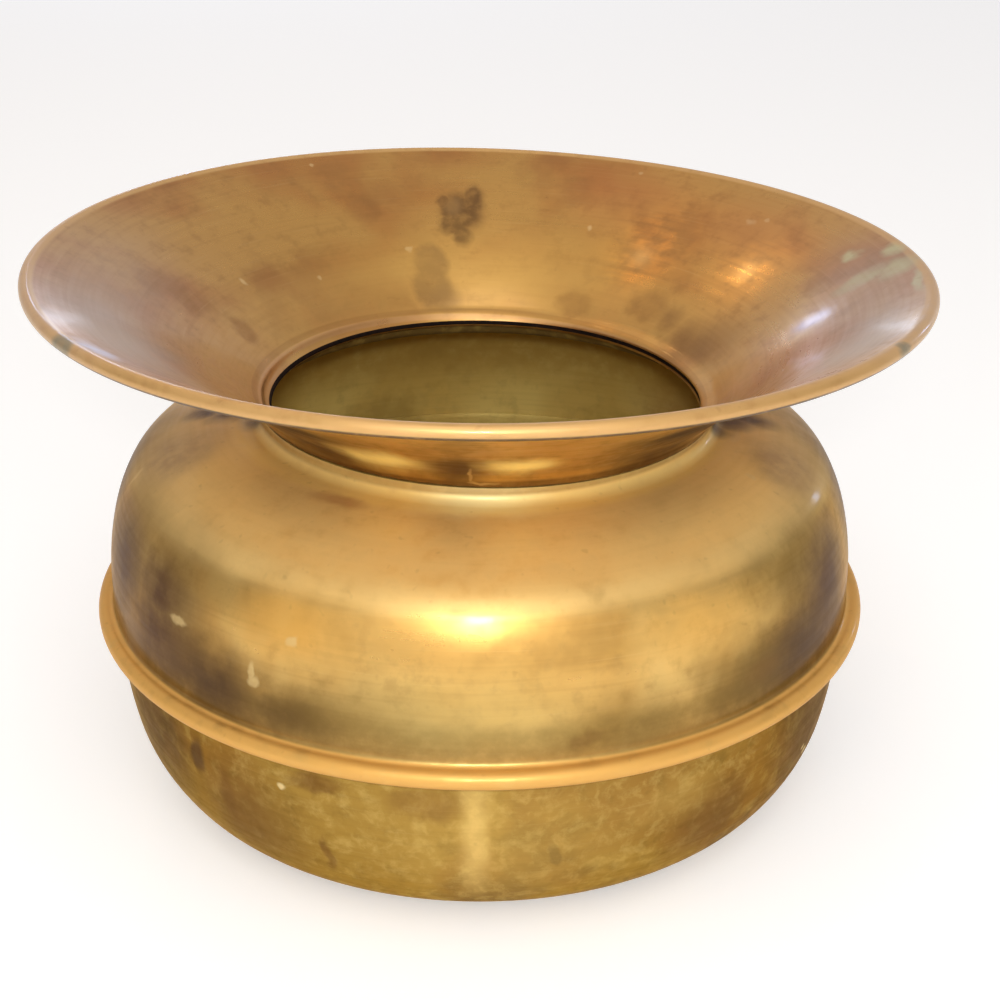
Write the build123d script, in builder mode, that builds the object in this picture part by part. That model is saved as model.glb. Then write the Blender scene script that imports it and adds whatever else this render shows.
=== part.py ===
from build123d import *
from math import acos, cos, degrees, radians, sin, sqrt
import os

# A spun brass spittoon: a two-part bowl with a rolled bead round its belly,
# and a wide flared funnel that rests in the collar of the bowl and lifts out.
# Lengths are in millimetres and angles in degrees. The origin is the centre
# of the base, at table level, and +Z is up.

# Sheet brass and the gaps between pieces
sheet = 0.8
wire_gap = 0.2
solder_film = 0.3
seat_gap = 0.3

# Base
base_radius = 80.5
base_plate_thickness = 1.0
base_plate_setback = 2.0
base_solder_leg = 0.8
foot_ring_width = 6.5
recess_edge_radius = 1.5
recess_corner_radius = 2.0

# Weight inside the base
weight_thickness = 6.5
weight_top_gap = 0.3
weight_side_gap = 0.5

# Bowl below the bead. The turns are measured away from the upright wall.
bowl_radius = 108.6
bowl_straight = 4.9
bowl_wall_turn = 12.0
bowl_turn = 23.0
bowl_foot_turn = 90.0 - bowl_wall_turn - bowl_turn
bowl_wall_arc_share = 4.2
bowl_turn_arc_share = 1.584

# Bead round the belly, rolled over a wire
bead_reach = 4.7
bead_roll_radius = 2.55
bead_fillet_radius = 3.0
bead_roll_turn = 250.0

# Upper shell: belly, shoulder, crown and the upright collar
belly_straight = 5.0
solder_height = 4.0
belly_turn = 15.0
shoulder_turn = 15.0
crown_edge_turn = 30.0
crown_turn = 90.0 - belly_turn - shoulder_turn - crown_edge_turn
belly_arc_share = 1.93
shoulder_arc_share = 1.148
crown_edge_arc_share = 0.5
collar_radius = 66.3
collar_height = 1.0
cove_radius = 4.5

# Funnel. The slopes are measured up from level.
lip_width = 3.6
lip_end_slope = 60.0
lip_crease_slope = 30.0
crease_fillet_radius = 1.5
flare_throat_slope = 43.0
flare_rim_slope = 25.7
rim_radius = 127.0
rim_roll_radius = 2.0
rim_roll_turn = 290.0


def arc_run(radius, start_angle, end_angle):
    """Sideways reach of an arc between two angles from upright."""
    return radius * (cos(radians(start_angle)) - cos(radians(end_angle)))


def arc_rise(radius, start_angle, end_angle):
    """Height of an arc between two angles from upright."""
    return radius * (sin(radians(end_angle)) - sin(radians(start_angle)))


def direction(angle):
    """Unit vector at an angle from the outward direction."""
    return Vector(cos(radians(angle)), sin(radians(angle)))


def draw_sheet(start, heading, runs):
    """Outline of a bent sheet that lies to the right of a path.

    The path goes from the start point in the heading given. Each run is a
    length and no turn, or an arc radius and its turn, positive to the left.
    """
    ends = []
    for depth in (0, sheet):
        point = Vector(*start) + direction(heading - 90) * depth
        angle = heading
        ends.append(point)
        for size, turn in runs:
            if turn == 0:
                edge = Line(point, point + direction(angle) * size)
            else:
                face_radius = size + depth if turn > 0 else size - depth
                edge = JernArc(point, direction(angle), face_radius, turn)
            point = edge @ 1
            angle += turn
        ends.append(point)
    near_start, near_end, far_start, far_end = ends
    Line(near_start, far_start)
    Line(near_end, far_end)


# Bowl outline: three tangent arcs, of which the last one closes on the base
bowl_bottom = base_plate_thickness
bowl_span = bowl_radius - base_radius
bowl_wall_arc = bowl_wall_arc_share * bowl_span
bowl_turn_arc = bowl_turn_arc_share * bowl_span
bowl_turn_end = bowl_wall_turn + bowl_turn
bowl_run = arc_run(bowl_wall_arc, 0, bowl_wall_turn)
bowl_run += arc_run(bowl_turn_arc, bowl_wall_turn, bowl_turn_end)
bowl_foot_arc = (bowl_span - bowl_run) / cos(radians(bowl_turn_end))
bowl_rise = arc_rise(bowl_wall_arc, 0, bowl_wall_turn)
bowl_rise += arc_rise(bowl_turn_arc, bowl_wall_turn, bowl_turn_end)
bowl_rise += bowl_foot_arc * (1 - sin(radians(bowl_turn_end)))

# Recess under the bowl floor, which holds the weight
recess_radius = base_radius - foot_ring_width
recess_height = weight_thickness + weight_top_gap
weight_radius = recess_radius - weight_side_gap
base_plate_radius = base_radius - base_plate_setback

# Bead
belly_radius = bowl_radius + solder_film + sheet
bead_height = bowl_bottom + bowl_rise + bowl_straight
bead_centre_radius = belly_radius + bead_reach - bead_roll_radius
bead_reach_of_arcs = bead_fillet_radius + bead_roll_radius
bead_sidestep = belly_radius + bead_fillet_radius - bead_centre_radius
bead_fillet_turn = degrees(acos(bead_sidestep / bead_reach_of_arcs))
bead_fillet_top = bead_height + bead_reach_of_arcs * sin(radians(bead_fillet_turn))
bead_wire_radius = bead_roll_radius - sheet - wire_gap
lap_top = bead_fillet_top + solder_height

# Shoulder: four tangent arcs, of which the last one closes on the cove
cove_foot_radius = collar_radius + cove_radius
crown_span = belly_radius - cove_foot_radius
belly_arc = belly_arc_share * crown_span
shoulder_arc = shoulder_arc_share * crown_span
crown_edge_arc = crown_edge_arc_share * crown_span
shoulder_end = belly_turn + shoulder_turn
crown_edge_end = shoulder_end + crown_edge_turn
crown_run = arc_run(belly_arc, 0, belly_turn)
crown_run += arc_run(shoulder_arc, belly_turn, shoulder_end)
crown_run += arc_run(crown_edge_arc, shoulder_end, crown_edge_end)
crown_arc = (crown_span - crown_run) / cos(radians(crown_edge_end))
crown_height = bead_fillet_top + belly_straight
crown_height += arc_rise(belly_arc, 0, belly_turn)
crown_height += arc_rise(shoulder_arc, belly_turn, shoulder_end)
crown_height += arc_rise(crown_edge_arc, shoulder_end, crown_edge_end)
crown_height += crown_arc * (1 - sin(radians(crown_edge_end)))
collar_top = crown_height + cove_radius + collar_height

# Funnel: its underside rests at the crease on the inner edge of the collar
crease_radius = collar_radius - sheet
lip_arc = lip_width / (sin(radians(lip_end_slope)) - sin(radians(lip_crease_slope)))
lip_rise = lip_arc * (cos(radians(lip_crease_slope)) - cos(radians(lip_end_slope)))
lip_centre_offset = lip_arc * sin(radians(lip_crease_slope))
underside_drop = lip_arc * cos(radians(lip_crease_slope))
underside_drop -= sqrt((lip_arc - sheet) ** 2 - lip_centre_offset**2)
crease_height = collar_top + seat_gap + underside_drop
throat_radius = crease_radius - lip_width
throat_height = crease_height - lip_rise
rim_centre_radius = rim_radius - rim_roll_radius
crease_slope_step = sin(radians(flare_throat_slope)) - sin(radians(lip_crease_slope))
flare_start_radius = crease_radius + crease_fillet_radius * crease_slope_step
flare_end_radius = rim_centre_radius - rim_roll_radius * sin(radians(flare_rim_slope))
flare_slope_step = sin(radians(flare_throat_slope)) - sin(radians(flare_rim_slope))
flare_arc = (flare_end_radius - flare_start_radius) / flare_slope_step
crease_fillet_rise = crease_fillet_radius * cos(radians(lip_crease_slope))
crease_fillet_rise -= crease_fillet_radius * cos(radians(flare_throat_slope))
flare_rise = flare_arc * (cos(radians(flare_rim_slope)) - cos(radians(flare_throat_slope)))
rim_centre_height = crease_height + crease_fillet_rise + flare_rise
rim_centre_height -= rim_roll_radius * cos(radians(flare_rim_slope))
rim_wire_radius = rim_roll_radius - sheet - wire_gap

os.makedirs("parts", exist_ok=True)


# Funnel: one spun sheet, with a turned-in lip at the throat and its rim
# rolled outwards over a wire
with BuildPart() as funnel:
    with BuildSketch(Plane.XZ):
        with BuildLine():
            draw_sheet(
                (throat_radius, throat_height),
                lip_end_slope,
                [
                    (lip_arc, lip_crease_slope - lip_end_slope),
                    (crease_fillet_radius, flare_throat_slope - lip_crease_slope),
                    (flare_arc, flare_rim_slope - flare_throat_slope),
                    (rim_roll_radius, -rim_roll_turn),
                ],
            )
        make_face()
    revolve(axis=Axis.Z)

# Wire inside the rolled rim
with BuildPart() as rim_wire:
    with BuildSketch(Plane.YZ):
        with Locations((rim_centre_radius, rim_centre_height)):
            Circle(rim_wire_radius)
    revolve(axis=Axis.Z)

# Upper shell: collar, crown, shoulder and belly, ending in the rolled bead
with BuildPart() as upper_shell:
    with BuildSketch(Plane.XZ):
        with BuildLine():
            draw_sheet(
                (collar_radius, collar_top),
                -90,
                [
                    (collar_height, 0),
                    (cove_radius, 90),
                    (crown_arc, -crown_turn),
                    (crown_edge_arc, -crown_edge_turn),
                    (shoulder_arc, -shoulder_turn),
                    (belly_arc, -belly_turn),
                    (belly_straight, 0),
                    (bead_fillet_radius, bead_fillet_turn),
                    (bead_roll_radius, -bead_roll_turn),
                ],
            )
        make_face()
    revolve(axis=Axis.Z)

# Wire inside the bead
with BuildPart() as bead_wire:
    with BuildSketch(Plane.YZ):
        with Locations((bead_centre_radius, bead_height)):
            Circle(bead_wire_radius)
    revolve(axis=Axis.Z)

# Lower shell: its top slides up inside the belly, and its floor is pressed up
# to leave a recess for the weight
with BuildPart() as lower_shell:
    with BuildSketch(Plane.XZ):
        with BuildLine():
            draw_sheet(
                (bowl_radius, lap_top),
                -90,
                [
                    (lap_top - bead_height + bowl_straight, 0),
                    (bowl_wall_arc, -bowl_wall_turn),
                    (bowl_turn_arc, -bowl_turn),
                    (bowl_foot_arc, -bowl_foot_turn),
                    (foot_ring_width - recess_edge_radius, 0),
                    (recess_edge_radius, -90),
                    (recess_height - recess_edge_radius - recess_corner_radius, 0),
                    (recess_corner_radius, 90),
                    (recess_radius - recess_corner_radius, 0),
                ],
            )
        make_face()
    revolve(axis=Axis.Z)

# Film of solder in the lap between the two shells
with BuildPart() as belly_solder:
    with BuildSketch(Plane.XY.offset(bead_fillet_top)):
        Circle(bowl_radius + solder_film)
        Circle(bowl_radius, mode=Mode.SUBTRACT)
    extrude(amount=solder_height)

# Cast weight, lying on the base plate inside the recess
with BuildPart() as base_weight:
    with BuildSketch(Plane.XY.offset(base_plate_thickness)):
        Circle(weight_radius)
    extrude(amount=weight_thickness)
    chamfer(base_weight.faces().sort_by(Axis.Z)[-1].edges(), length=recess_corner_radius)

# Plate that closes the recess and stands on the table
with BuildPart() as base_plate:
    with BuildSketch():
        Circle(base_plate_radius)
    extrude(amount=base_plate_thickness)

# Fillet of solder round the edge of the base plate, under the foot ring
with BuildPart() as base_solder:
    with BuildSketch(Plane.XZ):
        with BuildLine():
            Polyline(
                (base_plate_radius, base_plate_thickness),
                (base_plate_radius + base_solder_leg, base_plate_thickness),
                (base_plate_radius, base_plate_thickness - base_solder_leg),
                close=True,
            )
        make_face()
    revolve(axis=Axis.Z)

pieces = {
    "funnel": funnel,
    "rim_wire": rim_wire,
    "upper_shell": upper_shell,
    "bead_wire": bead_wire,
    "lower_shell": lower_shell,
    "belly_solder": belly_solder,
    "base_weight": base_weight,
    "base_plate": base_plate,
    "base_solder": base_solder,
}
for name, piece in pieces.items():
    piece.part.label = name
    export_step(piece.part, f"parts/{name}.step")

overall_height = rim_centre_height + rim_roll_radius
print("overall height", round(overall_height, 2))
print("rim diameter", round(2 * rim_radius, 2))
print("bead height and radius", round(bead_height, 2), round(belly_radius + bead_reach, 2))
print("crown and collar top", round(crown_height, 2), round(collar_top, 2))
print("crease height and radius", round(crease_height, 2), round(crease_radius, 2))
print("throat height and radius", round(throat_height, 2), round(throat_radius, 2))
print("rim roll centre height", round(rim_centre_height, 3))
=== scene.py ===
import math

import bmesh
import bpy
from mathutils import Euler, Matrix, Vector


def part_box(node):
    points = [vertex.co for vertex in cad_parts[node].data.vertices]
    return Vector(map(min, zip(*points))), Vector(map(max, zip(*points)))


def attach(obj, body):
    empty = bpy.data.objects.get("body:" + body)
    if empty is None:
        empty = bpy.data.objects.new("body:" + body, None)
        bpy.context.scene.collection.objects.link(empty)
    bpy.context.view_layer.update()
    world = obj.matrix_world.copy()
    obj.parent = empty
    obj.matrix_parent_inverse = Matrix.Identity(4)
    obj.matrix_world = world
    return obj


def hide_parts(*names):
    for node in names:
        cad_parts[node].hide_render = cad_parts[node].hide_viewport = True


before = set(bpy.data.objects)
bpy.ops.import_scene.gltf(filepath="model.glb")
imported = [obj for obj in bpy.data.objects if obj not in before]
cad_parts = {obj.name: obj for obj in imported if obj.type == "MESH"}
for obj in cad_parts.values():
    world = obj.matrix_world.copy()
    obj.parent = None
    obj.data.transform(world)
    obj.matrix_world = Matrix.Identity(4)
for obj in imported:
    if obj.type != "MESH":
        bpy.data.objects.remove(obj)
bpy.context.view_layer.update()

# Lengths are in millimetres until a mesh is made; the scene is in metres.
MM = 0.001

SHEET = 0.8
SEGMENTS = 320

# Profile values of the real object, repeated from the CAD source
BASE_RADIUS = 80.5
BOWL_RADIUS = 108.6
BELLY_RADIUS = 109.7
BEAD_HEIGHT = 56.311
BEAD_CENTRE_RADIUS = 111.85
BEAD_ROLL = 2.55
BEAD_FILLET = 1.6
BELLY_FOOT = 61.796
COLLAR_RADIUS = 66.3
RIM_HEIGHT = 155.78
RIM_RADIUS = 127.0
RIM_ROLL = 2.0
RIM_WIRE_RADIUS = 1.0
COVE = 3.0
COLLAR_HEIGHT = 1.4
BELLY_ARC = 75.1
SHOULDER_ARC = 44.7
EDGE_ARC = 19.5
FOOT_FLAT = 5.0
FOOT_ROLL = 1.5
RECESS_RISE = 3.3
RECESS_BEND = 2.0

# How far a raw edge bulges out, as a share of the sheet's thickness
EDGE_BULGE = 0.35


# Meshes


def heading(angle):
    """Direction of an angle in degrees, in (radius, height)."""
    a = math.radians(angle)
    return Vector((math.cos(a), math.sin(a)))


def trace(start, angle, runs, depth, pitch):
    """Points along one face of a sheet, depth below a path of lines and arcs."""
    point = Vector(start) + heading(angle - 90) * depth
    points = [point.copy()]
    for size, turn in runs:
        if turn == 0:
            steps = max(1, round(size / pitch))
            for i in range(steps):
                point = point + heading(angle) * (size / steps)
                points.append(point.copy())
            continue
        radius = size + depth if turn > 0 else size - depth
        side = math.copysign(1, turn)
        centre = point + heading(angle + 90 * side) * radius
        steps = max(3, round(size * abs(math.radians(turn)) / pitch), round(abs(turn) / 9))
        for i in range(1, steps + 1):
            points.append(centre + heading(angle + turn * i / steps - 90 * side) * radius)
        angle += turn
        point = points[-1].copy()
    return points, angle


def edge_round(a, b, bulge, steps=4):
    """Points of the rounded raw edge between the two faces of a sheet."""
    middle, half = (a + b) / 2, (a - b) / 2
    out = []
    for i in range(1, steps):
        t = math.pi * i / steps
        out.append(middle + half * math.cos(t) + bulge * math.sin(t))
    return out


def sheet_loop(start, angle, runs, pitch=1.2, closed_axis=False):
    """Closed outline of a bent sheet, with its raw edges rounded over."""
    near, end_angle = trace(start, angle, runs, 0.0, pitch)
    far, _ = trace(start, angle, runs, SHEET, pitch)
    outer, inner = list(near), list(reversed(far))
    if not closed_axis:
        outer += edge_round(near[-1], far[-1], heading(end_angle) * SHEET * EDGE_BULGE)
    inner += edge_round(far[0], near[0], heading(angle + 180) * SHEET * EDGE_BULGE)
    return [(outer, 0), (inner, 1)]


def lathe(name, parts, warp=None, segments=SEGMENTS, body="vessel"):
    """A turned piece from a closed outline in (radius, height); warp bends the result.

    The outline comes as parts, each a list of points and the number of its material.
    """
    bm = bmesh.new()
    rings = []
    loop = [point for points, _ in parts for point in points]
    finishes = [finish for points, finish in parts for _ in points]
    for radius, height in loop:
        if radius < 1e-6:
            rings.append([bm.verts.new((0, 0, height))])
            continue
        ring = []
        for i in range(segments):
            a = 2 * math.pi * i / segments
            ring.append(bm.verts.new((radius * math.sin(a), -radius * math.cos(a), height)))
        rings.append(ring)
    for low, high, finish in zip(rings, rings[1:] + rings[:1], finishes):
        if len(low) == 1 and len(high) == 1:
            continue
        for i in range(segments):
            j = (i + 1) % segments
            if len(low) == 1:
                face = bm.faces.new((low[0], high[j], high[i]))
            elif len(high) == 1:
                face = bm.faces.new((low[i], low[j], high[0]))
            else:
                face = bm.faces.new((low[i], low[j], high[j], high[i]))
            face.material_index = finish
    for vert in bm.verts:
        if warp:
            vert.co = warp(vert.co)
        vert.co *= MM
    bmesh.ops.recalc_face_normals(bm, faces=bm.faces)
    mesh = bpy.data.meshes.new(name)
    bm.to_mesh(mesh)
    bm.free()
    for face in mesh.polygons:
        face.use_smooth = True
    piece = bpy.data.objects.new(name, mesh)
    bpy.context.scene.collection.objects.link(piece)
    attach(piece, body)
    return piece


def wire_loop(radius, centre_radius, height, steps=20):
    """Round outline of a wire."""
    out = []
    for i in range(steps):
        d = heading(360 * i / steps) * radius
        out.append(Vector((centre_radius + d.x, height + d.y)))
    return out


# How age has bent the brass

NECK_LEAN = 1.0
RIM_LEAN = 0.55
COLLAR_LEAN = 0.8
NECK_SHIFT = 2.0
LIP_SHIFT = 1.0
FAR_LIFT = 1.1

# Radii between which each bend fades in or out
FUNNEL_SPREAD = (60, 127)
LIP_RISE = (62.4, 63.2)
LIP_FALL = (63.4, 65.6)
FAR_SPREAD = (66, 100)
FAR_DEPTH = (0, 60)
COLLAR_SPREAD = (66, 92)


def smooth(low, high, value):
    """0 below low, 1 above high, with a smooth step between."""
    t = min(1.0, max(0.0, (value - low) / (high - low)))
    return t * t * (3 - 2 * t)


def funnel_warp(co):
    """The funnel sits about a degree low on its right and the rim twists a little."""
    radius = math.hypot(co.x, co.y)
    out = smooth(*FUNNEL_SPREAD, radius)
    lean = NECK_LEAN + RIM_LEAN * out * co.y / RIM_RADIUS
    lip = smooth(*LIP_RISE, radius) * (1 - smooth(*LIP_FALL, radius))
    x = co.x + NECK_SHIFT * (1 - out) - LIP_SHIFT * lip
    z = co.z - co.x * math.tan(math.radians(lean))
    z += FAR_LIFT * smooth(*FAR_DEPTH, co.y) * (1 - smooth(*FAR_SPREAD, radius))
    return Vector((x, co.y, z))


def shell_warp(co):
    """The collar follows the funnel; the belly is true."""
    radius = math.hypot(co.x, co.y)
    near = 1 - smooth(*COLLAR_SPREAD, radius)
    x = co.x + NECK_SHIFT * near
    z = co.z - co.x * math.tan(math.radians(COLLAR_LEAN)) * near
    return Vector((x, co.y, z))


# Funnel

CREASE = (66.2, RIM_HEIGHT - 37.2)
RIM_SLOPE = 25.7
RIM_ROLL_TURN = -285
FLARE_PITCH = 1.3

# The turned-in lip below the crease: a rounded band, then a steep end in painted shade
LIP_SLOPE = 24.0
LIP_ARCS = ((8.3, 26), (3.4, 36))
LIP_STEPS = 7
LIP_DARK_RADIUS = 62.62

# The hem under the lip, as radius and depth below the rim
HEM = ((68.2, 37.55), (67.2, 38.7), (66.6, 39.6), (65.9, 39.95), (65.0, 40.35), (64.0, 41.2), (63.1, 42.0))
HEM_GAP = 1.3
HEM_BULGE = 0.3


def slope_between(low, high):
    """Slope in degrees from one point up to another."""
    return math.degrees(math.atan2(high[1] - low[1], high[0] - low[0]))


def arc_radius(low, high, low_slope, high_slope):
    """Radius of the arc that joins two points and turns between two slopes."""
    chord = math.dist(low, high)
    return chord / (2 * math.sin(math.radians(abs(low_slope - high_slope)) / 2))


flare_end = (
    RIM_RADIUS - RIM_ROLL - RIM_ROLL * math.sin(math.radians(RIM_SLOPE)),
    RIM_HEIGHT + RIM_ROLL * math.cos(math.radians(RIM_SLOPE)),
)
throat_slope = 2 * slope_between(CREASE, flare_end) - RIM_SLOPE
flare_radius = arc_radius(CREASE, flare_end, throat_slope, RIM_SLOPE)
flare_runs = [(flare_radius, RIM_SLOPE - throat_slope), (RIM_ROLL, RIM_ROLL_TURN)]
flare_top, roll_end = trace(CREASE, throat_slope, flare_runs, 0.0, FLARE_PITCH)
flare_under, _ = trace(CREASE, throat_slope, flare_runs, SHEET, FLARE_PITCH)

lip_top = []
lip_point, lip_slope = Vector(CREASE), LIP_SLOPE
for radius, turn in LIP_ARCS:
    centre = lip_point + heading(lip_slope - 90) * radius
    for i in range(1, LIP_STEPS + 1):
        lip_top.append(centre + heading(lip_slope + 90 + turn * i / LIP_STEPS) * radius)
    lip_point = lip_top[-1]
    lip_slope += turn
lip_end = lip_top[-1]
hem = [Vector((radius, RIM_HEIGHT - depth)) for radius, depth in HEM]
lip_dark = [point for point in reversed(lip_top) if point.x < LIP_DARK_RADIUS]
inside = [point for point in reversed(lip_top) if point.x >= LIP_DARK_RADIUS] + flare_top
outside = edge_round(flare_top[-1], flare_under[-1], heading(roll_end) * SHEET * EDGE_BULGE)
outside += [point for point in reversed(flare_under) if point.x > hem[0].x + HEM_GAP] + hem
outside += edge_round(hem[-1], lip_end, Vector((0, -HEM_BULGE)))
funnel_skin = lathe(
    "funnel_skin", [(lip_dark, 2), (inside, 0), (outside, 1)], funnel_warp, body="funnel_top"
)
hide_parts("funnel")

rim_low, rim_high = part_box("rim_wire")
rim_wire_height = (rim_low[2] + rim_high[2]) / 2 / MM
rim_core = lathe(
    "rim_wire_core",
    [(wire_loop(RIM_WIRE_RADIUS, RIM_RADIUS - RIM_ROLL, rim_wire_height), 0)],
    funnel_warp,
    body="funnel_top",
)
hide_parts("rim_wire")


# Upper shell


def arc_run(radius, low, high):
    """How far in toward the axis an arc goes between two slopes off the upright."""
    return radius * (math.cos(math.radians(low)) - math.cos(math.radians(high)))


def arc_rise(radius, low, high):
    """How far up an arc goes between two slopes off the upright."""
    return radius * (math.sin(math.radians(high)) - math.sin(math.radians(low)))


WALL_ABOVE_FOOT = 5.0
BEAD_ROLL_TURN = -266
UPRIGHT, BELLY_SLOPE, SHOULDER_SLOPE, CROWN_SLOPE, LEVEL = 0, 15, 30, 60, 90

# Each arc is its radius and its slopes off the upright, at its outer end and nearer the axis
crown_arcs = [
    (BELLY_ARC, UPRIGHT, BELLY_SLOPE),
    (SHOULDER_ARC, BELLY_SLOPE, SHOULDER_SLOPE),
    (EDGE_ARC, SHOULDER_SLOPE, CROWN_SLOPE),
]
crown_span = BELLY_RADIUS - COLLAR_RADIUS - COVE
crown_run = sum(arc_run(*arc) for arc in crown_arcs)
crown_arcs.append(((crown_span - crown_run) / math.cos(math.radians(CROWN_SLOPE)), CROWN_SLOPE, LEVEL))
fillet_turn = math.degrees(
    math.acos((BELLY_RADIUS + BEAD_FILLET - BEAD_CENTRE_RADIUS) / (BEAD_FILLET + BEAD_ROLL))
)
fillet_top = BEAD_HEIGHT + (BEAD_FILLET + BEAD_ROLL) * math.sin(math.radians(fillet_turn))
upper_runs = [
    (COLLAR_HEIGHT, 0),
    (COVE, 90),
    *[(radius, low - high) for radius, low, high in reversed(crown_arcs)],
    (WALL_ABOVE_FOOT + BELLY_FOOT - fillet_top, 0),
    (BEAD_FILLET, fillet_turn),
    (BEAD_ROLL, BEAD_ROLL_TURN),
]
collar_top = BELLY_FOOT + WALL_ABOVE_FOOT
for arc in crown_arcs:
    collar_top += arc_rise(*arc)
collar_top += COVE + COLLAR_HEIGHT
upper_skin = lathe(
    "upper_shell_skin", sheet_loop((COLLAR_RADIUS, collar_top), -90, upper_runs), shell_warp
)
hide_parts("upper_shell")


# Lower shell

LAP_HEIGHT = 4.0
WALL_BELOW_BEAD = 4.9
WALL_SHARE = 4.2
TURN_SHARE = 1.584
WALL_SLOPE = 12
FOOT_SLOPE = 35
LOWER_PITCH = 1.6
bowl_span = BOWL_RADIUS - BASE_RADIUS
bowl_arcs = [
    (WALL_SHARE * bowl_span, UPRIGHT, WALL_SLOPE),
    (TURN_SHARE * bowl_span, WALL_SLOPE, FOOT_SLOPE),
]
bowl_run = sum(arc_run(*arc) for arc in bowl_arcs)
bowl_arcs.append(((bowl_span - bowl_run) / math.cos(math.radians(FOOT_SLOPE)), FOOT_SLOPE, LEVEL))
lap_top = BELLY_FOOT + LAP_HEIGHT
lower_runs = [
    (lap_top - BEAD_HEIGHT + WALL_BELOW_BEAD, 0),
    *[(radius, low - high) for radius, low, high in bowl_arcs],
    (FOOT_FLAT, 0),
    (FOOT_ROLL, -90),
    (RECESS_RISE, 0),
    (RECESS_BEND, 90),
    (BASE_RADIUS - FOOT_FLAT - FOOT_ROLL - RECESS_BEND, 0),
]
lower_skin = lathe(
    "lower_shell_skin",
    sheet_loop((BOWL_RADIUS, lap_top), -90, lower_runs, pitch=LOWER_PITCH, closed_axis=True),
)
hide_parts("lower_shell")


# Materials


def tone(red, green, blue):
    """A colour given as it looks on a screen, 0 to 255, as linear light."""
    return tuple(
        (c / 255 / 12.92 if c <= 10 else ((c / 255 + 0.055) / 1.055) ** 2.4) for c in (red, green, blue)
    ) + (1.0,)


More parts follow.
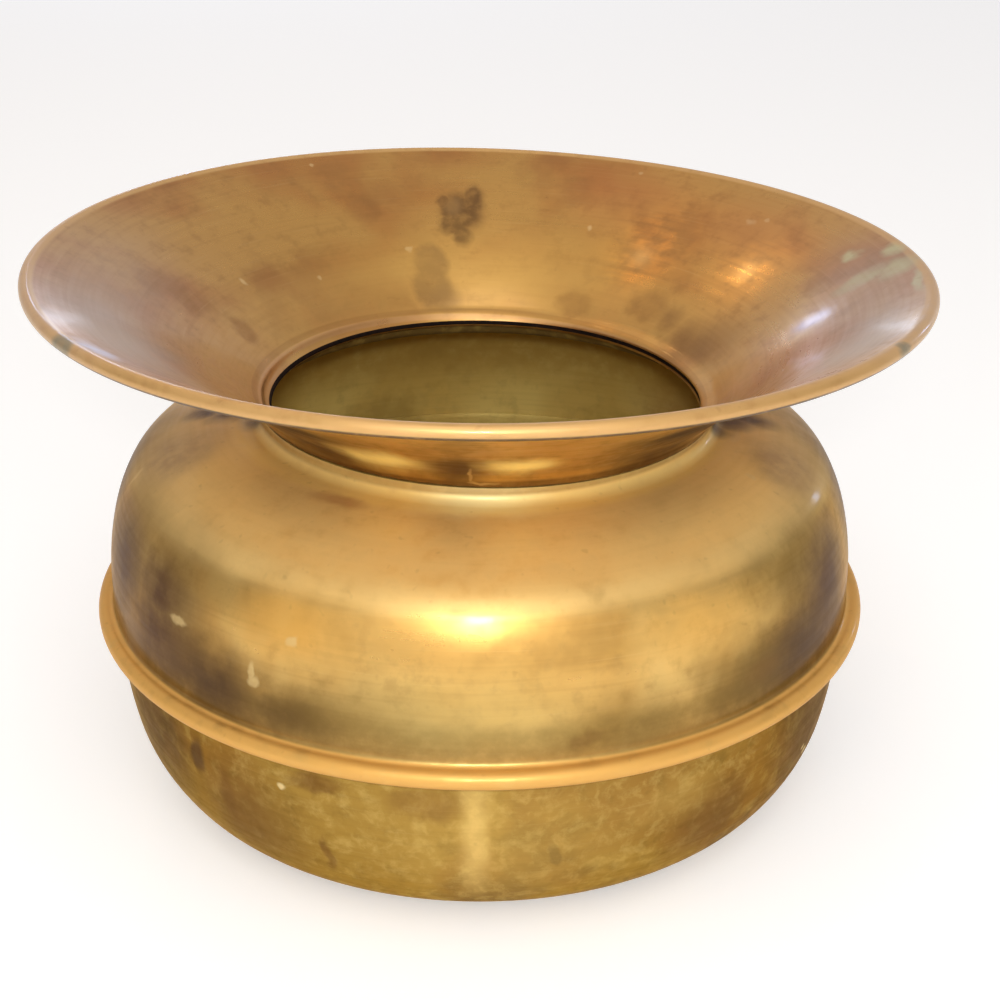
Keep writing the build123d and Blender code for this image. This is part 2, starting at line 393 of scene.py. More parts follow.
class Recipe:
    """One material, built step by step from noise and from places in millimetres."""

    def __init__(self, name):
        self.material = bpy.data.materials.new(name)
        self.material.use_nodes = True
        self.tree = self.material.node_tree
        self.shader = self.tree.nodes["Principled BSDF"]
        coordinates = self.node("ShaderNodeTexCoord").outputs["Object"]
        self.place = self.vector("MULTIPLY", coordinates, (1 / MM, 1 / MM, 1 / MM))
        split = self.node("ShaderNodeSeparateXYZ")
        self.feed(split.inputs[0], self.place)
        x, y, self.height = split.outputs
        self.radius = self.vector("LENGTH", self.vector("MULTIPLY", self.place, (1, 1, 0)))
        self.angle = self.sums("ARCTAN2", x, self.sums("MULTIPLY", y, -1.0))
        facing = self.node("ShaderNodeSeparateXYZ")
        self.feed(facing.inputs[0], self.tree.nodes["Texture Coordinate"].outputs["Normal"])
        self.facing_down = self.sums("MULTIPLY", facing.outputs[2], -1.0)

    def node(self, kind, **settings):
        made = self.tree.nodes.new(kind)
        for key, value in settings.items():
            setattr(made, key, value)
        return made

    def feed(self, socket, value):
        if isinstance(value, bpy.types.NodeSocket):
            self.tree.links.new(value, socket)
        else:
            socket.default_value = value

    def sums(self, operation, a, b=0.0):
        made = self.node("ShaderNodeMath", operation=operation)
        self.feed(made.inputs[0], a)
        self.feed(made.inputs[1], b)
        return made.outputs[0]

    def vector(self, operation, a, b=(0, 0, 0)):
        made = self.node("ShaderNodeVectorMath", operation=operation)
        self.feed(made.inputs[0], a)
        self.feed(made.inputs[1], b)
        return made.outputs["Value" if operation == "LENGTH" else "Vector"]

    def fade(self, value, low, high, start=0.0, end=1.0):
        made = self.node("ShaderNodeMapRange", interpolation_type="SMOOTHSTEP")
        for socket, number in zip(made.inputs, (value, low, high, start, end)):
            self.feed(socket, number)
        return made.outputs[0]

    def cloud(self, size, where=None, detail=4.0, rough=0.55, bend=0.0, colour=False):
        """Noise with lumps about size millimetres across."""
        made = self.node("ShaderNodeTexNoise")
        self.feed(made.inputs["Vector"], where or self.place)
        settings = {"Scale": 1 / size, "Detail": detail, "Roughness": rough, "Distortion": bend}
        for key, number in settings.items():
            made.inputs[key].default_value = number
        return made.outputs["Color" if colour else 0]

    def mix(self, under, over, share, mode="MIX"):
        made = self.node("ShaderNodeMix", data_type="RGBA", blend_type=mode)
        self.feed(made.inputs[0], share)
        self.feed(made.inputs[6], under)
        self.feed(made.inputs[7], over)
        return made.outputs[2]

    def band(self, value, low, high, soft):
        """1 between low and high, fading out over soft on each side."""
        rise = self.fade(value, low - soft, low)
        fall = self.fade(value, high, high + soft, 1.0, 0.0)
        return self.sums("MULTIPLY", rise, fall)

    def shaken(self, size, amount):
        """The place, pushed about by noise, so that outlines come out irregular."""
        push = self.vector("SUBTRACT", self.cloud(size, colour=True, detail=3.0), (0.5, 0.5, 0.5))
        return self.vector("ADD", self.place, self.vector("MULTIPLY", push, (amount,) * 3))

    def spots(self, where, marks, soft=0.3):
        """Strength of the nearest of some marks.

        A mark is degrees round from the front, radius, height, then its half sizes
        across, in radius and in height.
        """
        out = None
        for angle, radius, height, across, deep, tall in marks:
            a = math.radians(angle)
            made = self.node("ShaderNodeMapping", vector_type="TEXTURE")
            self.feed(made.inputs["Vector"], where)
            made.inputs["Location"].default_value = (radius * math.sin(a), -radius * math.cos(a), height)
            made.inputs["Rotation"].default_value = (0, 0, a)
            made.inputs["Scale"].default_value = (across, deep, tall)
            near = self.fade(self.vector("LENGTH", made.outputs[0]), 1 - soft, 1 + soft, 1.0, 0.0)
            out = near if out is None else self.sums("MAXIMUM", out, near)
        return out

    def spun(self, size, stretch):
        """Noise drawn out round the axis, like the lines left by spinning."""
        made = self.node("ShaderNodeCombineXYZ")
        turns = self.sums("MULTIPLY", self.angle, stretch)
        for socket, value in zip(made.inputs, (self.radius, self.height, turns)):
            self.feed(socket, value)
        return self.cloud(size, made.outputs[0], detail=1.0)

    def bump(self, height, distance, under=None):
        made = self.node("ShaderNodeBump")
        made.inputs["Distance"].default_value = distance * MM
        self.feed(made.inputs["Height"], height)
        if under is not None:
            self.feed(made.inputs["Normal"], under)
        return made.outputs[0]


# Brass: sizes, from the broad tarnish down to the fine lines left by spinning
TARNISH = 60.0
PATCH = 30.0
WAVE = 26.0
SHAKE = 11.0
SHAKE_PUSH = 7.0
MOTTLE = 5.5
BLOT = 5.0
PIT = 2.4
SPIN_LINE = 1.6
FINE_LINE = 0.7

BARE_LINE = tone(250, 222, 160)
PALE_BLOT = tone(214, 184, 108)
PIT_SHARE = 0.15
RING_DULLING = 0.7
METAL_LOST_TO_DIRT = 0.42
BRASS_SPECULAR = 0.2
LACQUER_ROUGHNESS = 0.14
WAVE_DEPTH = 0.28
GRAIN_DEPTH = 0.012

# A mark this soft or softer keeps an even shade; a sharper one is broken up by the mottle
EVEN_SOFTNESS = 0.8


def add_rings(r, mottle, colour, dirt, rings):
    """Mix in rings, each axis, low, high, softness, colour and share, and dull the metal there."""
    for axis, low, high, soft, shade, share in rings:
        value = {"radius": r.radius, "height": r.height, "down": r.facing_down}[axis]
        here = r.sums("MULTIPLY", r.band(value, low, high, soft), share)
        here = r.sums("MULTIPLY", here, r.fade(mottle, 0.25, 0.55, 0.7, 1.0))
        colour = r.mix(colour, shade, here)
        dirt = r.sums("MAXIMUM", dirt, r.sums("MULTIPLY", here, RING_DULLING))
    return colour, dirt


def add_marks(r, mottle, where, colour, dirt, marks):
    """Mix in groups of marks and dull the metal there."""
    for shade, share, soft, places in marks:
        least = 0.7 if soft < EVEN_SOFTNESS else 0.93
        here = r.sums("MULTIPLY", r.spots(where, places, soft), share)
        here = r.sums("MULTIPLY", here, r.fade(mottle, 0.3, 0.6, least, 1.0))
        colour = r.mix(colour, shade, here)
        dirt = r.sums("MAXIMUM", dirt, here)
    return colour, dirt


def brass(
    name, main, warm, dark, rough, metal,
    clouding=0.5, spun=0.55, pale=0.0, lacquer=0.0, edge=(1, 1, 1, 1), film=None,
    bands=(), marks=(), trim=(),
):
    """Old sheet brass: worn gold, warmer and darker patches, spinning lines, pits.

    Bands lie under the marks and trim over them. Film is a haze that takes the shine off
    between two heights, down to a share.
    """
    r = Recipe(name)
    shaken = r.shaken(SHAKE, SHAKE_PUSH)
    colour = r.mix(main, warm, r.fade(r.cloud(TARNISH, detail=3.0, bend=0.3), 0.42, 0.62))
    patches = r.fade(r.cloud(PATCH, shaken, detail=4.0, rough=0.6), 0.5, 0.68)
    patches = r.sums("MULTIPLY", patches, clouding)
    colour = r.mix(colour, dark, patches)
    mottle = r.cloud(MOTTLE, detail=3.6, rough=0.62)
    colour = r.mix(colour, r.mix(dark, main, 0.35), r.fade(mottle, 0.48, 0.75, 0.0, 0.42))
    streaks = r.spun(SPIN_LINE, 5.0)
    colour = r.mix(colour, dark, r.fade(streaks, 0.45, 0.8, 0.0, 0.12))
    colour = r.mix(colour, BARE_LINE, r.fade(r.spun(FINE_LINE, 3.0), 0.6, 0.8, 0.0, 0.06))
    if pale:
        blots = r.fade(r.cloud(BLOT, shaken, detail=5.0, rough=0.65), 0.44, 0.72, 0.0, pale)
        colour = r.mix(colour, PALE_BLOT, blots)
    colour, dirt = add_rings(r, mottle, colour, patches, bands)
    colour, dirt = add_marks(r, mottle, shaken, colour, dirt, marks)
    colour, dirt = add_rings(r, mottle, colour, dirt, trim)
    pits = r.fade(r.cloud(PIT, detail=0.5), 0.7, 0.84)
    colour = r.mix(colour, dark, r.sums("MULTIPLY", pits, PIT_SHARE))
    r.feed(r.shader.inputs["Base Color"], colour)
    shine = r.fade(dirt, 0.0, 1.0, metal, metal - METAL_LOST_TO_DIRT)
    if film:
        start, full, share = film
        shine = r.sums("MULTIPLY", shine, r.fade(r.height, start, full, 1.0, share))
    r.feed(r.shader.inputs["Metallic"], shine)
    r.shader.inputs["Specular IOR Level"].default_value = BRASS_SPECULAR
    r.shader.inputs["Specular Tint"].default_value = edge
    r.shader.inputs["Coat Weight"].default_value = lacquer
    r.shader.inputs["Coat Roughness"].default_value = LACQUER_ROUGHNESS
    gloss = r.fade(r.sums("ADD", dirt, mottle), 0.3, 1.3, rough - 0.03, rough + 0.2)
    gloss = r.sums("ADD", gloss, r.fade(streaks, 0.3, 0.7, -0.03, 0.05))
    r.feed(r.shader.inputs["Roughness"], gloss)
    r.shader.inputs["Anisotropic"].default_value = spun
    r.shader.inputs["Anisotropic Rotation"].default_value = 0.25
    tangent = r.node("ShaderNodeTangent", direction_type="RADIAL", axis="Z")
    r.feed(r.shader.inputs["Tangent"], tangent.outputs[0])
    waves = r.bump(r.cloud(WAVE, detail=1.0), WAVE_DEPTH)
    grain = r.cloud(MOTTLE, detail=3.0, rough=0.5)
    fine = r.sums("ADD", r.sums("MULTIPLY", streaks, 0.25), r.sums("MULTIPLY", grain, 0.5))
    r.feed(r.shader.inputs["Normal"], r.bump(fine, GRAIN_DEPTH, waves))
    return r.material


# Other surfaces: sizes of the dark clouds and the bright flecks
DARK_CLOUD = 9.0
BRIGHT_FLECK = 2.2
FLECK_SHAKE = 4.0
FLECK_PUSH = 3.0


def rough_metal(name, main, dark, bright, rough, metal, lump, depth):
    """Wire, solder, cast iron and painted shade: a cloudy surface with an uneven skin."""
    r = Recipe(name)
    shaken = r.shaken(FLECK_SHAKE, FLECK_PUSH)
    clouds = r.cloud(DARK_CLOUD, shaken, detail=6.0, rough=0.65)
    colour = r.mix(main, dark, r.fade(clouds, 0.42, 0.64))
    colour = r.mix(colour, bright, r.fade(r.cloud(BRIGHT_FLECK, shaken), 0.55, 0.75, 0.0, 0.6))
    r.feed(r.shader.inputs["Base Color"], colour)
    r.shader.inputs["Metallic"].default_value = metal
    wear = r.cloud(lump, shaken, detail=5.0, rough=0.6)
    r.feed(r.shader.inputs["Roughness"], r.fade(wear, 0.3, 0.7, rough - 0.1, rough + 0.15))
    r.feed(r.shader.inputs["Normal"], r.bump(wear, depth))
    return r.material


# Colours that several materials share
# near-black painted shade, used under the rim and round the throat
PAINTED_SHADE = tone(40, 24, 8)
RIM_TONE = tone(214, 170, 108)
BEAD_TONE = tone(226, 174, 94)
SEAM_TONE = tone(150, 106, 48)

# Marks are stains, scuffs and casts of colour, and some painted shade, highlights and reflections.
# Each group is colour, share, softness and its places, and each place is as in Recipe.spots.

# Inside of the funnel

funnel_marks = [
    # heart-shaped stain, the oval beside it and the lozenge below
    (tone(100, 66, 26), 0.9, 0.4, [
        (-176.1, 97.5, 142.0, 7.4, 8.2, 9.0),
        (-179.0, 102.6, 146.0, 3.8, 5.4, 9.0),
        (-174.0, 93.0, 140.0, 4.6, 4.0, 9.0),
        (-176.4, 89.6, 137.5, 3.2, 4.2, 9.0),
        (-172.4, 101.0, 146.0, 2.6, 2.4, 9.0),
    ]),
    (tone(150, 114, 66), 0.7, 0.6, [(-174.9, 99.4, 144.0, 3.2, 2.8, 9.0)]),
    (tone(132, 96, 54), 0.85, 0.25, [
        (-168.4, 79.0, 130.0, 5.6, 8.6, 9.0),
        (-167.6, 73.0, 125.5, 6.2, 8.0, 9.0),
    ]),
    (tone(150, 114, 66), 0.6, 0.6, [(-171.2, 69.5, 124.0, 4.0, 4.0, 9.0)]),
    (tone(150, 104, 50), 0.6, 0.4, [
        (-157.4, 100.9, 145.8, 5.2, 6.0, 9.0),
        (-154.5, 116.7, 155.0, 6.0, 3.6, 9.0),
        (-106.3, 73.3, 127.6, 4.4, 3.6, 9.0),
        (154.0, 70.0, 121.8, 6.0, 3.4, 9.0),
        (134.8, 75.1, 125.2, 6.5, 5.0, 9.0),
    ]),
    (tone(124, 82, 42), 0.5, 0.9, [
        (118.7, 70.8, 120.6, 5.0, 4.2, 9.0),
        (126.0, 74.0, 123.5, 4.2, 3.4, 9.0),
        (108.0, 74.5, 124.0, 8.0, 7.0, 9.0),
    ]),
    (tone(100, 62, 26), 0.45, 0.9, [(113.0, 69.7, 119.5, 6.0, 5.0, 9.0)]),
    # green corrosion at the right, and where the curl was knocked at the left
    (tone(200, 198, 150), 0.8, 0.6, [
        (94.0, 110.0, 150.0, 4.0, 7.0, 9.0),
        (92.0, 119.0, 153.0, 5.6, 6.0, 9.0),
        (98.0, 122.0, 154.0, 4.0, 3.4, 9.0),
        (84.0, 122.0, 154.0, 8.0, 1.4, 9.0),
        (103.0, 113.0, 150.5, 3.0, 2.2, 9.0),
    ]),
    (tone(122, 120, 96), 0.8, 0.4, [
        (-54.0, 126.0, 158.0, 4.5, 2.6, 3.0),
        (56.0, 126.4, 155.0, 4.0, 2.0, 2.4),
    ]),
    # pale specks
    (tone(236, 206, 150), 0.55, 0.5, [
        (152.9, 118.5, 153.4, 0.9, 0.7, 4.0),
        (128.2, 110.5, 148.5, 1.7, 1.2, 4.0),
        (126.0, 112.0, 149.0, 0.9, 0.8, 4.0),
        (-151.6, 119.7, 156.9, 0.7, 0.8, 4.0),
        (157.7, 96.2, 140.9, 0.8, 0.8, 4.0),
        (-164.4, 85.0, 135.1, 0.8, 0.9, 4.0),
        (-119.9, 84.2, 136.0, 0.8, 0.9, 4.0),
        (-139.3, 79.0, 131.9, 0.8, 0.9, 4.0),
    ]),
    # copper and olive casts, then grey-mauve and pale grey painted reflections of the room at the sides
    (tone(176, 112, 62), 0.5, 1.0, [
        (154.0, 109.0, 148.0, 22.0, 12.0, 14.0),
        (128.0, 106.0, 146.0, 20.0, 10.0, 14.0),
    ]),
    (tone(198, 154, 76), 0.5, 1.0, [
        (-160.0, 78.0, 130.0, 26.0, 12.0, 14.0),
        (168.0, 78.0, 130.0, 26.0, 12.0, 14.0),
    ]),
    (tone(184, 160, 138), 0.6, 1.0, [
        (-86.0, 106.0, 150.0, 36.0, 18.0, 14.0),
        (84.0, 108.0, 150.0, 32.0, 14.0, 14.0),
    ]),
    (tone(204, 194, 184), 0.75, 1.0, [
        (-62.0, 104.0, 150.0, 28.0, 16.0, 16.0),
        (62.0, 110.0, 150.0, 22.0, 10.0, 14.0),
    ]),
    # a painted blue-white window reflection beside the knock at the left
    (tone(226, 232, 255), 0.85, 0.7, [(-51.0, 120.0, 154.0, 8.0, 3.2, 6.0)]),
]
funnel_inner = brass(
    "brass_funnel_inside",
    main=tone(205, 156, 84),
    warm=tone(188, 128, 66),
    dark=tone(138, 92, 44),
    rough=0.3,
    metal=0.9,
    clouding=0.45,
    marks=funnel_marks,
    bands=[
        ("radius", 66.0, 76.0, 9.0, tone(220, 176, 100), 0.4),
        # a painted highlight along the edge of the lip, then a darker band below the crease
        ("radius", 63.0, 63.9, 0.5, tone(220, 170, 128), 0.35),
        ("radius", 64.6, 65.7, 0.5, tone(150, 100, 44), 0.3),
        ("radius", 123.6, 128.0, 1.0, RIM_TONE, 0.95),
        # painted shade on the surfaces that face down, under the rim's curl
        ("down", 0.55, 1.1, 0.25, PAINTED_SHADE, 0.85),
    ],
    spun=0.35,
    lacquer=0.4,
)

# Outside of the funnel

neck_marks = [
    # painted shade round the neck, under the flare, darker close under the rim
    (tone(88, 52, 10), 0.9, 0.8, [
        (-36.0, 72.0, 120.0, 22.0, 8.0, 9.0),
        (42.0, 72.0, 120.0, 16.0, 8.0, 9.0),
        (-48.0, 80.0, 127.0, 26.0, 14.0, 8.0),
        (50.0, 80.0, 127.0, 24.0, 12.0, 7.0),
        (-4.0, 74.0, 124.0, 5.0, 8.0, 12.0),
    ]),
    (tone(58, 34, 10), 0.85, 0.8, [
        (-35.0, 84.0, 131.0, 15.0, 6.0, 5.0),
        (38.0, 85.0, 131.0, 18.0, 6.0, 5.0),
    ]),
    # painted highlights on the neck
    (tone(255, 222, 126), 1.0, 0.8, [
        (-20.0, 76.0, 125.0, 10.0, 10.0, 5.0),
        (8.0, 76.0, 126.0, 8.0, 10.0, 4.0),
    ]),
    # an upright scratch at the front and a nick beside it
    (tone(236, 190, 112), 0.45, 0.5, [
        (-1.5, 72.0, 120.0, 0.5, 6.0, 3.4),
        (0.6, 68.0, 117.4, 3.0, 4.0, 0.5),
    ]),
]
funnel_outer = brass(
    "brass_funnel_outside",
    main=tone(212, 162, 80),
    warm=tone(190, 138, 58),
    dark=tone(120, 82, 30),
    rough=0.34,
    metal=0.75,
    clouding=0.6,
    bands=[
        ("radius", 124.2, 128.0, 0.6, RIM_TONE, 0.95),
        # painted shade under the rim, and low on the neck above the collar
        ("radius", 119.5, 122.6, 1.0, PAINTED_SHADE, 0.7),
        ("height", 112.0, 117.6, 1.6, tone(96, 56, 12), 0.7),
    ],
    marks=neck_marks,
)

# Outside of the upper shell

belly_marks = [
    # painted dark reflections on the sides
    (tone(86, 56, 20), 1.0, 1.0, [
        (-52.0, 109.0, 74.0, 22.0, 12.0, 16.0),
        (-66.0, 108.0, 84.0, 22.0, 14.0, 18.0),
        (-90.0, 106.0, 88.0, 22.0, 20.0, 20.0),
        (90.0, 106.0, 88.0, 24.0, 20.0, 20.0),
        (62.0, 108.0, 82.0, 16.0, 14.0, 18.0),
        (-52.0, 107.0, 85.0, 18.0, 14.0, 13.0),
    ]),
    # darker patches low down, and a softer darker tone between them
    (tone(74, 50, 22), 0.95, 0.9, [
        (-38.0, 109.5, 69.0, 16.0, 8.0, 10.0),
        (-26.0, 109.5, 68.0, 12.0, 6.0, 6.0),
        (50.0, 109.0, 70.0, 22.0, 12.0, 12.0),
    ]),
    (tone(120, 94, 42), 0.7, 1.0, [
        (-18.0, 109.0, 71.0, 22.0, 6.0, 9.0),
        (20.0, 109.6, 68.0, 16.0, 6.0, 8.0),
        (38.0, 109.5, 72.0, 16.0, 6.0, 10.0),
        (50.0, 105.6, 92.0, 13.0, 10.0, 8.0),
    ]),
    # paler olive at the front
    (tone(178, 162, 100), 0.4, 1.0, [(0.0, 109.5, 74.0, 24.0, 6.0, 9.0)]),
    # grey-mauve painted reflections of the room
    (tone(150, 122, 92), 0.6, 0.6, [
        (-74.0, 88.0, 107.0, 12.0, 12.0, 8.0),
        (-62.0, 109.5, 65.0, 7.0, 9.0, 8.0),
        (70.0, 90.0, 106.0, 12.0, 12.0, 8.0),
    ]),
    # painted warm sheen beside the front, round the highlight
    (tone(242, 184, 90), 0.55, 1.0, [
        (32.0, 106.0, 90.0, 18.0, 8.0, 9.0),
        (-26.0, 106.0, 92.0, 16.0, 8.0, 8.0),
    ]),
    # bare scuffs
    (tone(226, 198, 138), 0.6, 0.4, [
        (-47.2, 108.4, 80.6, 3.4, 4.0, 1.1),
        (-26.1, 106.6, 88.1, 1.5, 4.0, 1.5),
        (-32.4, 109.0, 76.2, 1.1, 4.0, 2.4),
        (-31.9, 109.3, 74.1, 1.9, 4.0, 1.4),
        (-76.3, 100.4, 100.2, 1.0, 4.0, 3.4),
        (59.6, 84.9, 108.7, 1.2, 1.2, 4.0),
        (75.6, 74.3, 110.3, 3.6, 1.6, 4.0),
    ]),
    # a copper smear on the crown
    (tone(170, 96, 60), 0.5, 0.6, [(-29.8, 73.9, 111.3, 7.0, 2.6, 4.0)]),
    # painted shade: the dark line on the crown under the rim
    (tone(62, 38, 14), 0.85, 0.8, [
        (-90.7, 78.6, 111.0, 5.0, 7.0, 6.0),
        (-86.0, 70.2, 111.5, 5.5, 7.0, 6.0),
        (-78.2, 64.5, 113.0, 5.5, 5.0, 6.0),
        (86.0, 78.5, 111.0, 5.0, 7.0, 6.0),
        (83.3, 72.5, 111.5, 5.5, 7.0, 6.0),
        (78.0, 67.0, 113.0, 5.0, 5.0, 6.0),
    ]),
    # a painted highlight in the cove at the front
    (tone(255, 242, 180), 0.8, 0.9, [(1.0, 68.0, 113.0, 14.0, 5.0, 5.0)]),
    # two small stains above the bead
    (tone(120, 86, 40), 0.5, 0.6, [(14.1, 109.7, 65.5, 4.0, 4.0, 2.4), (42.6, 109.6, 69.9, 7.0, 4.0, 3.4)]),
]
upper_outer = brass(
    "brass_upper_shell_outside",
    main=tone(226, 188, 114),
    warm=tone(214, 168, 92),
    dark=tone(132, 96, 44),
    rough=0.31,
    metal=0.78,
    clouding=0.3,
    spun=0.1,
    lacquer=0.17,
    marks=belly_marks,
    bands=[
        ("height", 62.0, 67.0, 6.0, tone(128, 102, 48), 0.65),
        # painted light on the crown, and a painted highlight round the cove
        ("height", 100.0, 112.0, 5.0, tone(242, 206, 134), 0.75),
        ("radius", 66.0, 71.0, 4.0, tone(248, 214, 130), 0.7),
    ],
    trim=[
        ("radius", 110.4, 116.0, 0.6, BEAD_TONE, 0.95),
        ("height", 114.2, 118.0, 1.2, SEAM_TONE, 0.55),
    ],
    film=(98.0, 107.0, 0.6),
    edge=tone(204, 166, 104),
)

# Outside of the lower shell

bowl_marks = [
    # dark spots, and softer stains and runs
    (tone(84, 56, 28), 0.8, 0.4, [
        (-45.0, 108.2, 41.9, 3.0, 6.0, 5.4),
        (10.4, 106.4, 28.8, 1.4, 6.0, 4.2),
    ]),
    (tone(116, 76, 36), 0.6, 0.5, [
        (-23.0, 108.5, 47.6, 8.5, 6.0, 2.6),
        (-39.3, 106.9, 31.6, 2.6, 6.0, 8.0),
        (-22.2, 104.8, 23.3, 1.4, 6.0, 6.0),
        (-7.6, 108.4, 45.8, 9.5, 6.0, 4.6),
    ]),
    # painted shade on the sides, and lower down toward the front
    (tone(84, 60, 34), 0.64, 0.8, [
        (-58.0, 107.5, 38.0, 20.0, 10.0, 20.0),
        (-80.0, 107.0, 40.0, 20.0, 20.0, 22.0),
        (60.0, 107.5, 38.0, 20.0, 10.0, 20.0),
        (80.0, 107.0, 40.0, 20.0, 20.0, 22.0),
    ]),
    (tone(122, 86, 40), 0.7, 0.9, [
        (-36.0, 106.0, 26.0, 16.0, 10.0, 16.0),
        (36.0, 106.0, 26.0, 12.0, 10.0, 12.0),
    ]),
    # bare specks
    (tone(244, 220, 160), 0.8, 0.4, [
        (-27.9, 108.4, 43.8, 1.4, 4.0, 1.2),
        (61.6, 105.7, 25.7, 1.4, 4.0, 1.0),
        (60.0, 106.5, 29.0, 1.0, 4.0, 0.8),
    ]),
    # pale clouding
    (tone(206, 170, 90), 0.4, 1.0, [
        (4.0, 107.0, 28.0, 26.0, 8.0, 24.0),
        (27.3, 108.0, 39.3, 12.0, 8.0, 6.0),
    ]),
    # a painted highlight: the upright light streak
    (tone(252, 216, 134), 0.4, 1.0, [(-0.4, 107.5, 36.0, 3.2, 8.0, 20.0)]),
]
lower_outer = brass(
    "brass_lower_shell_outside",
    main=tone(166, 132, 62),
    warm=tone(152, 112, 52),
    dark=tone(98, 74, 32),
    rough=0.36,
    metal=0.8,
    clouding=0.6,
    spun=0.7,
    pale=0.4,
    edge=tone(226, 196, 146),
    marks=bowl_marks,
    bands=[
        # painted shade under the bead
        ("height", 51.6, 62.0, 1.4, tone(80, 50, 20), 0.75),
        ("height", -1.0, 2.4, 3.0, tone(120, 92, 56), 0.6),
    ],
)

# Inside of both shells

patina = brass(
    "brass_inside_patina",
    main=tone(224, 198, 114),
    warm=tone(204, 172, 90),
    dark=tone(146, 118, 54),
    rough=0.5,
    metal=0.15,
    clouding=0.6,
    marks=[(tone(150, 104, 56), 0.6, 0.8, [(140.0, 106.0, 74.0, 16.0, 12.0, 10.0)])],
    bands=[
        ("height", 90.0, 120.0, 16.0, tone(170, 136, 62), 0.8),
        ("height", -5.0, 24.0, 10.0, tone(130, 104, 52), 0.6),
        # painted shade round the throat
        ("height", 111.0, 122.0, 2.0, PAINTED_SHADE, 0.7),
    ],
    spun=0.3,
)

# Wires, solder and weight

iron = rough_metal(
    "drawn_iron",
    main=tone(150, 146, 138),
    dark=tone(92, 72, 54),
    bright=tone(190, 186, 176),
    rough=0.45,
    metal=0.9,
    lump=1.5,
    depth=0.05,
)
solder = rough_metal(
    "soft_solder",
    main=tone(172, 172, 168),
    dark=tone(116, 112, 104),
    bright=tone(204, 204, 200),
    rough=0.5,
    metal=0.8,
    lump=2.4,
    depth=0.12,
)
cast = rough_metal(
    "cast_iron",
    main=tone(84, 78, 72),
    dark=tone(58, 44, 34),
    bright=tone(120, 112, 104),
    rough=0.65,
    metal=0.6,
    lump=1.2,
    depth=0.25,
)

# Painted shade on the steep end of the lip

LIP_SHADE_SPECULAR = 0.1
lip_painted_shade = rough_metal(
    "lip_painted_shade",
    main=tone(26, 14, 10),
    dark=tone(14, 8, 6),
    bright=tone(44, 26, 16),
    rough=0.75,
    metal=0.0,
    lump=1.6,
    depth=0.08,
)
lip_painted_shade.node_tree.nodes["Principled BSDF"].inputs["Specular IOR Level"].default_value = LIP_SHADE_SPECULAR

# Base plate

plate = brass(
    "brass_base_plate",
    main=tone(168, 132, 70),
    warm=tone(148, 108, 56),
    dark=tone(92, 68, 38),
    rough=0.38,
    metal=0.85,
    clouding=0.8,
    bands=[("radius", 70.0, 80.0, 3.0, tone(104, 78, 44), 0.6)],
)

# Which piece has which materials

finishes = {
    "funnel_skin": (funnel_inner, funnel_outer, lip_painted_shade),
    "upper_shell_skin": (upper_outer, patina),
    "lower_shell_skin": (lower_outer, patina),
    "rim_wire_core": (iron,),
    "bead_wire": (iron,),
    "belly_solder": (solder,),
    "base_weight": (cast,),
    "base_plate": (plate,),
    "base_solder": (solder,),
}
# A piece from the CAD comes with a material to replace, and a skin comes with none
for name, materials in finishes.items():
    mesh = bpy.data.objects[name].data
    if len(mesh.materials) == len(materials):
        for index, material in enumerate(materials):
            mesh.materials[index] = material
    else:
        for material in materials:
            mesh.materials.append(material)


# Camera, fitted to the photograph

CAMERA_SENSOR = 36.0
CAMERA_LENS = 64.8
CAMERA_SHIFT = 0.0203
CAMERA_BACK = 0.4902
CAMERA_ABOVE_RIM = 0.1524
CAMERA_PITCH = 24.8

scene = bpy.context.scene
camera_data = bpy.data.cameras.new("camera")
camera_data.sensor_width = CAMERA_SENSOR
camera_data.lens = CAMERA_LENS
camera_data.shift_x = CAMERA_SHIFT
camera = bpy.data.objects.new("camera", camera_data)
camera.location = (0, -CAMERA_BACK, RIM_HEIGHT * MM + CAMERA_ABOVE_RIM)
camera.rotation_euler = Euler((math.radians(90 - CAMERA_PITCH), 0, 0))
scene.collection.objects.link(camera)
scene.camera = camera


# Floor

FLOOR_HALF = 4.0
FLOOR_LIFT = 0.3
FLOOR_COLOUR = (0.87, 0.875, 0.89, 1)
FLOOR_ROUGHNESS = 0.9
FLOOR_SPECULAR = 0.1
floor_mesh = bpy.data.meshes.new("floor")
corners = [(-1, -1), (1, -1), (1, 1), (-1, 1)]
floor_mesh.from_pydata([(x * FLOOR_HALF, y * FLOOR_HALF, 0) for x, y in corners], [], [(0, 1, 2, 3)])
floor = bpy.data.objects.new("floor", floor_mesh)
scene.collection.objects.link(floor)
floor_paint = bpy.data.materials.new("floor")
floor_paint.use_nodes = True
floor_shader = floor_paint.node_tree.nodes["Principled BSDF"]
floor_shader.inputs["Base Color"].default_value = FLOOR_COLOUR
floor_shader.inputs["Roughness"].default_value = FLOOR_ROUGHNESS
floor_shader.inputs["Specular IOR Level"].default_value = FLOOR_SPECULAR
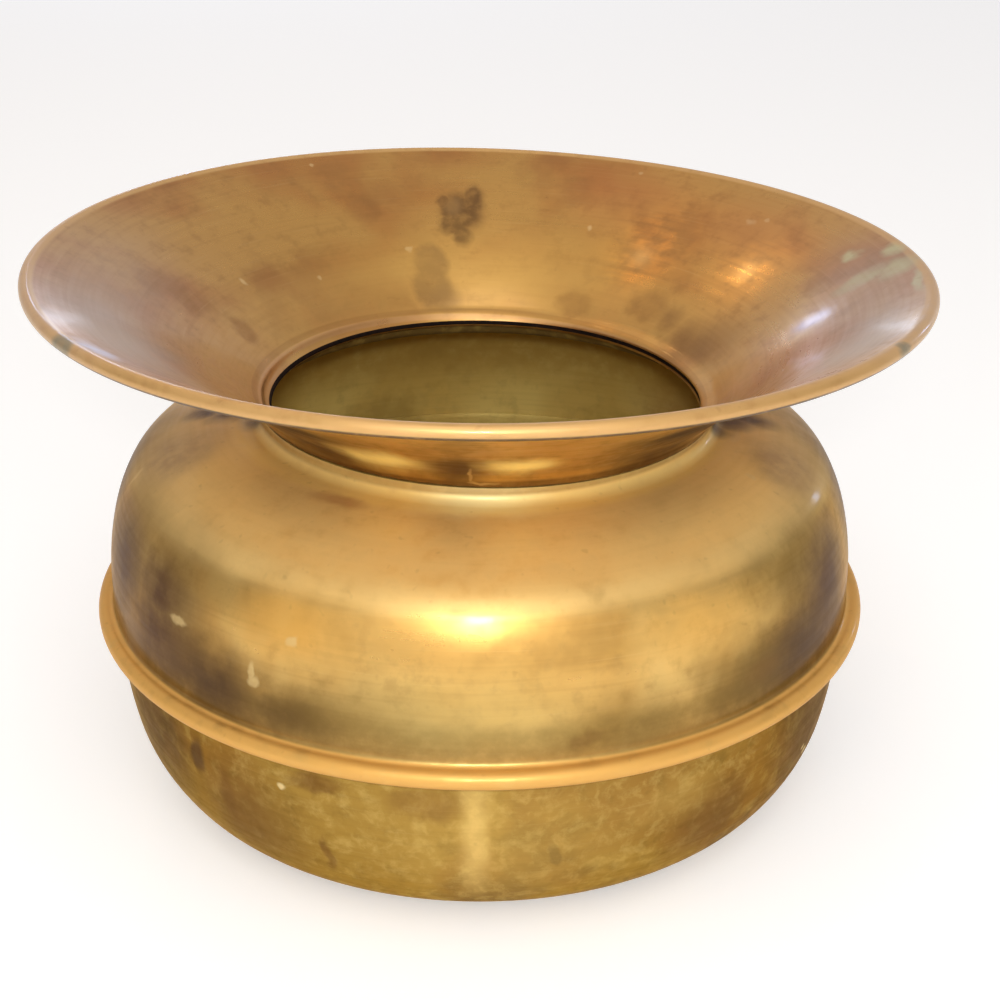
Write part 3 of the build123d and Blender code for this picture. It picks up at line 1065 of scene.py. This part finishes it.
# The floor is lifted a little toward white where it is seen, itself or mirrored
rays = floor_paint.node_tree.nodes.new("ShaderNodeLightPath")
seen = rays.outputs["Is Camera Ray"]
for kind in ("Is Glossy Ray", "Is Transmission Ray"):
    either = floor_paint.node_tree.nodes.new("ShaderNodeMath")
    either.operation = "MAXIMUM"
    floor_paint.node_tree.links.new(seen, either.inputs[0])
    floor_paint.node_tree.links.new(rays.outputs[kind], either.inputs[1])
    seen = either.outputs[0]
lift = floor_paint.node_tree.nodes.new("ShaderNodeMath")
lift.operation = "MULTIPLY"
lift.inputs[1].default_value = FLOOR_LIFT
floor_paint.node_tree.links.new(seen, lift.inputs[0])
floor_paint.node_tree.links.new(lift.outputs[0], floor_shader.inputs["Emission Strength"])
floor_shader.inputs["Emission Color"].default_value = (1, 1, 1, 1)
floor.data.materials.append(floor_paint)


# Lamps


def softbox(name, place, aim, width, height, power, colour):
    """A soft oval lamp that lights and is mirrored, but isn't seen itself."""
    data = bpy.data.lights.new(name, "AREA")
    data.shape = "ELLIPSE"
    data.size, data.size_y = width, height
    data.energy = power
    data.color = colour
    lamp = bpy.data.objects.new(name, data)
    lamp.location = place
    lamp.rotation_euler = (Vector(place) - Vector(aim)).to_track_quat("Z", "Y").to_euler()
    lamp.visible_camera = False
    scene.collection.objects.link(lamp)


MIDDLE = (0, 0, 0.1)
FLASH_WHITE = (1.0, 0.99, 0.97)
ROOM_WHITE = (1.0, 0.98, 0.94)
CEILING_WHITE = (1.0, 0.98, 0.95)
BULB_ORANGE = (1.0, 0.6, 0.2)

# Each lamp is its place, aim, width, height, watts and colour
LAMPS = {
    "flash": ((0.0, -0.62, 0.4), MIDDLE, 0.075, 0.042, 1.15, FLASH_WHITE),
    "glow": ((0.05, -0.95, 0.42), (0.0, 0.0, 0.08), 2.0, 0.85, 2.7, ROOM_WHITE),
    "bounce": ((0.0, -1.3, 1.0), MIDDLE, 1.5, 1.2, 5.6, ROOM_WHITE),
    "ceiling": ((0.0, -0.6, 1.7), MIDDLE, 1.2, 1.0, 4.4, CEILING_WHITE),
    "window_back": ((-0.45, 2.3, 0.8), (0.05, 0, 0.13), 0.17, 0.12, 1.0, (0.4, 0.58, 1.0)),
    "window_low": ((-0.3, 2.6, 0.22), (0.0, 0, 0.13), 1.4, 0.3, 4.6, (0.75, 0.84, 1.0)),
    "window_right": ((1.9, 1.6, 0.38), (0.09, 0, 0.1), 0.12, 0.3, 2.2, (0.45, 0.62, 1.0)),
    "lamp_one": ((-0.49, 0.52, 1.47), (0.05, 0.07, 0.13), 0.07, 0.05, 0.4, BULB_ORANGE),
    "lamp_two": ((-0.52, 0.99, 1.14), (0.08, 0.05, 0.14), 0.05, 0.05, 0.35, BULB_ORANGE),
}
for name, settings in LAMPS.items():
    softbox(name, *settings)


# Room

NEAR_WALL = (0.36, 0.34, 0.32, 1)
FAR_WALL = (0.8, 0.78, 0.84, 1)
OVERHEAD = (0.8, 0.76, 0.7, 1)
SKY_STRENGTH = 0.8

world = bpy.data.worlds.new("studio")
scene.world = world
world.use_nodes = True
sky = world.node_tree
direction = sky.nodes.new("ShaderNodeSeparateXYZ")
sky.links.new(sky.nodes.new("ShaderNodeTexCoord").outputs["Generated"], direction.inputs[0])


def sky_fade(value, low, high):
    made = sky.nodes.new("ShaderNodeMapRange")
    made.interpolation_type = "SMOOTHSTEP"
    sky.links.new(value, made.inputs[0])
    made.inputs[1].default_value, made.inputs[2].default_value = low, high
    return made.outputs[0]


def sky_mix(under, over, share):
    made = sky.nodes.new("ShaderNodeMix")
    made.data_type = "RGBA"
    sky.links.new(share, made.inputs[0])
    for socket, value in ((made.inputs[6], under), (made.inputs[7], over)):
        if isinstance(value, tuple):
            socket.default_value = value
        else:
            sky.links.new(value, socket)
    return made.outputs[2]


_, away, up = direction.outputs
walls = sky_mix(NEAR_WALL, FAR_WALL, sky_fade(away, -0.1, 0.9))
sky_colour = sky_mix(walls, OVERHEAD, sky_fade(up, 0.35, 0.95))
sky.links.new(sky_colour, sky.nodes["Background"].inputs[0])
sky.nodes["Background"].inputs[1].default_value = SKY_STRENGTH

scene.view_settings.view_transform = "Standard"
